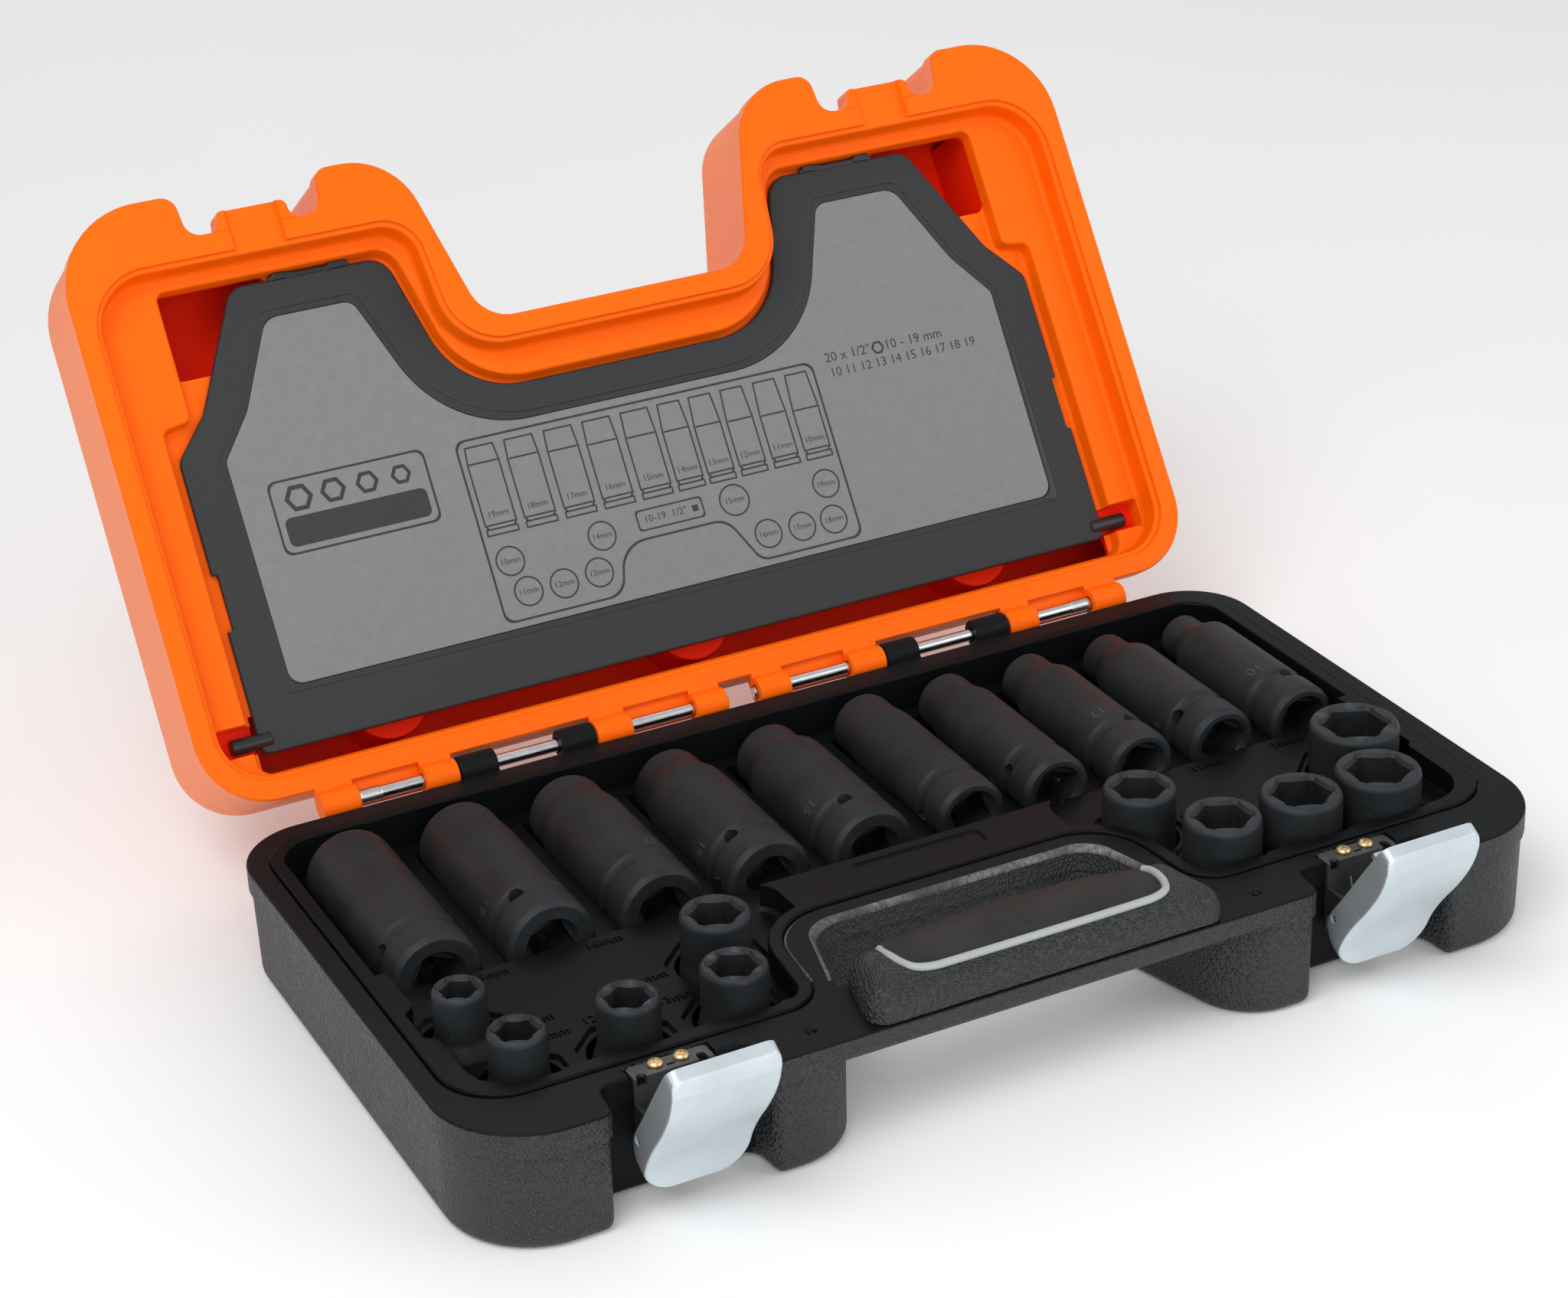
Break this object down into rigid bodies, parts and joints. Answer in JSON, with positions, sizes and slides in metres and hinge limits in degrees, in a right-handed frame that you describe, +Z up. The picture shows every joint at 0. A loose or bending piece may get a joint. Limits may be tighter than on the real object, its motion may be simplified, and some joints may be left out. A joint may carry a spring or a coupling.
{
  "type": "socket wrench set in case",
  "caption": "Hinged plastic case with a carrying handle, two latches, a fold-out index panel in the lid and a tray of deep and short impact sockets.",
  "frame": {"origin": "centre of the case base's underside, on the surface it stands on", "axes": "+Z up, +X along the hinge to the right as seen from the handle, -Y towards the handle"},
  "size_m": [0.38, 0.3922, 0.2164],
  "materials": {
    "case_black": "fine-grained moulded polypropylene, smooth on the rim",
    "tray_black": "satin moulded plastic",
    "grip_rubber": "matte soft-touch rubber",
    "trim_grey": "smooth pale grey plastic",
    "chromed_pin": "bright plated steel, knurled near the outer ends",
    "plated_steel": "dark plated sheet and wire",
    "zinc_screw": "yellow zinc plate",
    "silver_lever": "satin silver paint on a die casting",
    "socket_black": "black phosphate on forged steel",
    "lid_orange": "satin orange inside and on the rim, fine grain outside",
    "panel_grey": "finely grained dark grey plastic",
    "label_grey": "smooth printed sheet"
  },
  "bodies": {
    "case": {"case_base": "case_black", "socket_tray": "tray_black", "handle_cover": "case_black", "handle_grip": "grip_rubber", "grip_trim": "trim_grey", "hinge_pin_left": "chromed_pin", "latch_bracket_left": "plated_steel", "latch_pin_left": "plated_steel", "latch_spring_left": "plated_steel", "latch_screw_left_1": "zinc_screw", "latch_screw_left_2": "zinc_screw", "hinge_pin_right": "chromed_pin", "latch_bracket_right": "plated_steel", "latch_pin_right": "plated_steel", "latch_spring_right": "plated_steel", "latch_screw_right_1": "zinc_screw", "latch_screw_right_2": "zinc_screw"},
    "lid": {"lid_shell": "lid_orange"},
    "index_panel": {"lid_panel": "panel_grey", "panel_label": "label_grey"},
    "latch_left": {"latch_lever_left": "silver_lever"},
    "latch_right": {"latch_lever_right": "silver_lever"},
    "deep_socket_19mm": {"deep_socket_19mm": "socket_black"},
    "deep_socket_18mm": {"deep_socket_18mm": "socket_black"},
    "deep_socket_17mm": {"deep_socket_17mm": "socket_black"},
    "deep_socket_16mm": {"deep_socket_16mm": "socket_black"},
    "deep_socket_15mm": {"deep_socket_15mm": "socket_black"},
    "deep_socket_14mm": {"deep_socket_14mm": "socket_black"},
    "deep_socket_13mm": {"deep_socket_13mm": "socket_black"},
    "deep_socket_12mm": {"deep_socket_12mm": "socket_black"},
    "deep_socket_11mm": {"deep_socket_11mm": "socket_black"},
    "deep_socket_10mm": {"deep_socket_10mm": "socket_black"},
    "short_socket_10mm": {"short_socket_10mm": "socket_black"},
    "short_socket_11mm": {"short_socket_11mm": "socket_black"},
    "short_socket_12mm": {"short_socket_12mm": "socket_black"},
    "short_socket_13mm": {"short_socket_13mm": "socket_black"},
    "short_socket_14mm": {"short_socket_14mm": "socket_black"},
    "short_socket_15mm": {"short_socket_15mm": "socket_black"},
    "short_socket_16mm": {"short_socket_16mm": "socket_black"},
    "short_socket_17mm": {"short_socket_17mm": "socket_black"},
    "short_socket_18mm": {"short_socket_18mm": "socket_black"},
    "short_socket_19mm": {"short_socket_19mm": "socket_black"}
  },
  "joints": [
    {"name": "lid_hinge", "type": "hinge", "parent": "case", "child": "lid", "pos_m": [0, 0.10925, 0.041], "axis": [-1, 0, 0], "range_deg": [-124, 0]},
    {"name": "panel_hinge", "type": "hinge", "parent": "lid", "child": "index_panel", "pos_m": [0, 0.13834, 0.05515], "axis": [1, 0, 0], "range_deg": [0, 75]},
    {"name": "latch_left_hinge", "type": "hinge", "parent": "case", "child": "latch_left", "pos_m": [-0.1205, -0.09975, 0.027], "axis": [1, 0, 0], "range_deg": [-30, 0], "stiffness_Nm_per_rad": 0.01, "springref_deg": 20.05},
    {"name": "latch_right_hinge", "type": "hinge", "parent": "case", "child": "latch_right", "pos_m": [0.1205, -0.09975, 0.027], "axis": [1, 0, 0], "range_deg": [-30, 0], "stiffness_Nm_per_rad": 0.01, "springref_deg": 20.05},
    {"name": "lift_deep_socket_19mm", "type": "slide", "parent": "case", "child": "deep_socket_19mm", "axis": [0, 0, 1], "range_m": [0, 0.045]},
    {"name": "lift_deep_socket_18mm", "type": "slide", "parent": "case", "child": "deep_socket_18mm", "axis": [0, 0, 1], "range_m": [0, 0.045]},
    {"name": "lift_deep_socket_17mm", "type": "slide", "parent": "case", "child": "deep_socket_17mm", "axis": [0, 0, 1], "range_m": [0, 0.045]},
    {"name": "lift_deep_socket_16mm", "type": "slide", "parent": "case", "child": "deep_socket_16mm", "axis": [0, 0, 1], "range_m": [0, 0.045]},
    {"name": "lift_deep_socket_15mm", "type": "slide", "parent": "case", "child": "deep_socket_15mm", "axis": [0, 0, 1], "range_m": [0, 0.045]},
    {"name": "lift_deep_socket_14mm", "type": "slide", "parent": "case", "child": "deep_socket_14mm", "axis": [0, 0, 1], "range_m": [0, 0.045]},
    {"name": "lift_deep_socket_13mm", "type": "slide", "parent": "case", "child": "deep_socket_13mm", "axis": [0, 0, 1], "range_m": [0, 0.045]},
    {"name": "lift_deep_socket_12mm", "type": "slide", "parent": "case", "child": "deep_socket_12mm", "axis": [0, 0, 1], "range_m": [0, 0.045]},
    {"name": "lift_deep_socket_11mm", "type": "slide", "parent": "case", "child": "deep_socket_11mm", "axis": [0, 0, 1], "range_m": [0, 0.045]},
    {"name": "lift_deep_socket_10mm", "type": "slide", "parent": "case", "child": "deep_socket_10mm", "axis": [0, 0, 1], "range_m": [0, 0.045]},
    {"name": "lift_short_socket_10mm", "type": "slide", "parent": "case", "child": "short_socket_10mm", "axis": [0, 0, 1], "range_m": [0, 0.045]},
    {"name": "lift_short_socket_11mm", "type": "slide", "parent": "case", "child": "short_socket_11mm", "axis": [0, 0, 1], "range_m": [0, 0.045]},
    {"name": "lift_short_socket_12mm", "type": "slide", "parent": "case", "child": "short_socket_12mm", "axis": [0, 0, 1], "range_m": [0, 0.045]},
    {"name": "lift_short_socket_13mm", "type": "slide", "parent": "case", "child": "short_socket_13mm", "axis": [0, 0, 1], "range_m": [0, 0.045]},
    {"name": "lift_short_socket_14mm", "type": "slide", "parent": "case", "child": "short_socket_14mm", "axis": [0, 0, 1], "range_m": [0, 0.045]},
    {"name": "lift_short_socket_15mm", "type": "slide", "parent": "case", "child": "short_socket_15mm", "axis": [0, 0, 1], "range_m": [0, 0.045]},
    {"name": "lift_short_socket_16mm", "type": "slide", "parent": "case", "child": "short_socket_16mm", "axis": [0, 0, 1], "range_m": [0, 0.045]},
    {"name": "lift_short_socket_17mm", "type": "slide", "parent": "case", "child": "short_socket_17mm", "axis": [0, 0, 1], "range_m": [0, 0.045]},
    {"name": "lift_short_socket_18mm", "type": "slide", "parent": "case", "child": "short_socket_18mm", "axis": [0, 0, 1], "range_m": [0, 0.045]},
    {"name": "lift_short_socket_19mm", "type": "slide", "parent": "case", "child": "short_socket_19mm", "axis": [0, 0, 1], "range_m": [0, 0.045]}
  ]
}
